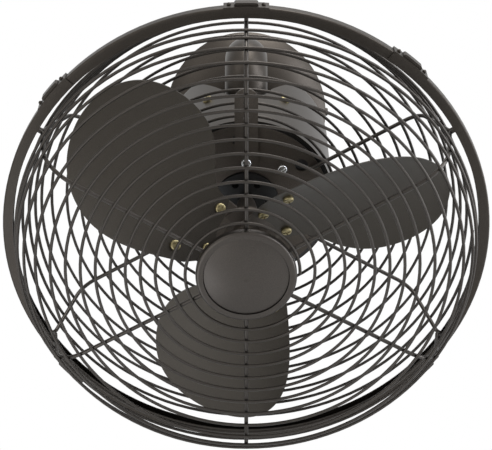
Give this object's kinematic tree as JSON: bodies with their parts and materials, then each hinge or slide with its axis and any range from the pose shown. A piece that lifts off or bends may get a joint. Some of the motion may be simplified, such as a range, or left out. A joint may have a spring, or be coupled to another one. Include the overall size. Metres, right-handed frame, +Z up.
{
  "type": "oscillating wall fan",
  "caption": "Wall-mounted fan: a round wire cage with paddle blades and a drum motor shell that tilts and swings on a goose-neck wall arm.",
  "frame": {"origin": "centre of the mount plate's back face, on the wall", "axes": "the wall is the plane Y = 0 and the fan reaches along -Y; +Z is up and +X is to the right as seen from in front"},
  "size_m": [0.3864, 0.3902, 0.3675],
  "materials": {
    "bronze_powder_coat": "dark bronze powder coat, satin",
    "cage_wire": "dark bronze powder coat on steel wire",
    "blade_coat": "dark bronze coat on pressed sheet, satin",
    "badge_bronze": "satin bronze coat on a plain cast badge",
    "black_motor": "black motor enamel",
    "brass_screw": "yellow zinc plated",
    "zinc_screw": "bright zinc plated",
    "zinc_plate": "zinc plated sheet",
    "steel": "ground steel",
    "stator_steel": "varnished electrical steel",
    "copper": "enamelled copper wire",
    "rotor_alloy": "cast rotor, turned",
    "bronze_bush": "sintered bearing metal",
    "nylon": "natural nylon",
    "motor_can": "drawn steel can"
  },
  "bodies": {
    "wall": {"wall_canopy": "bronze_powder_coat", "mount_plate": "zinc_plate", "canopy_screws": "bronze_powder_coat", "wall_arm": "bronze_powder_coat", "arm_screws": "zinc_screw", "swivel_spindle": "steel", "fixed_gear": "nylon", "retaining_clip": "steel", "thrust_washer": "nylon"},
    "swivel": {"swing_yoke": "bronze_powder_coat", "swivel_bush": "bronze_bush", "swing_motor": "motor_can", "swing_motor_screws": "zinc_screw"},
    "pinion": {"swing_pinion": "nylon"},
    "head": {"front_guard": "cage_wire", "front_centre_plate": "bronze_powder_coat", "badge_bezel": "badge_bronze", "badge_disc": "badge_bronze", "badge_screws": "zinc_screw", "trim_band": "bronze_powder_coat", "band_clips": "bronze_powder_coat", "rear_guard": "cage_wire", "rear_guard_plate": "bronze_powder_coat", "guard_plate_screws": "zinc_screw", "guard_strap": "bronze_powder_coat", "strap_screw": "zinc_screw", "motor_shell": "bronze_powder_coat", "shell_screws": "brass_screw", "shell_carrier": "black_motor", "motor_front_bracket": "black_motor", "motor_rear_bracket": "black_motor", "stator_core": "stator_steel", "stator_windings": "copper", "tie_bolts": "zinc_screw", "front_bearing": "steel", "rear_bearing": "steel", "tilt_bolts": "bronze_powder_coat", "tilt_washers": "nylon"},
    "rotor": {"motor_shaft": "steel", "rotor_core": "rotor_alloy", "blade_hub": "steel", "blade_spider": "bronze_powder_coat", "blade_screws": "brass_screw", "hub_set_screw": "steel", "shaft_nut": "zinc_screw", "blade_1": "blade_coat", "blade_2": "blade_coat", "blade_3": "blade_coat"}
  },
  "joints": [
    {"name": "oscillation", "type": "hinge", "parent": "wall", "child": "swivel", "pos_m": [0, -0.14596, 0], "axis": [0, 0, 1], "range_deg": [-45, 45]},
    {"name": "head_tilt", "type": "hinge", "parent": "swivel", "child": "head", "pos_m": [0, -0.14596, -0.05361], "axis": [1, 0, 0], "range_deg": [-28, 17]},
    {"name": "fan_spin", "type": "hinge", "parent": "head", "child": "rotor", "pos_m": [0, -0.2633, -0.116], "axis": [0, -0.8829, -0.4695], "continuous": true},
    {"name": "pinion_spin", "type": "hinge", "parent": "swivel", "child": "pinion", "pos_m": [0, -0.12676, -0.03361], "axis": [0, 0, 1], "range_deg": [-136, 136]}
  ],
  "couplings": [
    {"joint": "pinion_spin", "follows": "oscillation", "ratio": 3}
  ]
}
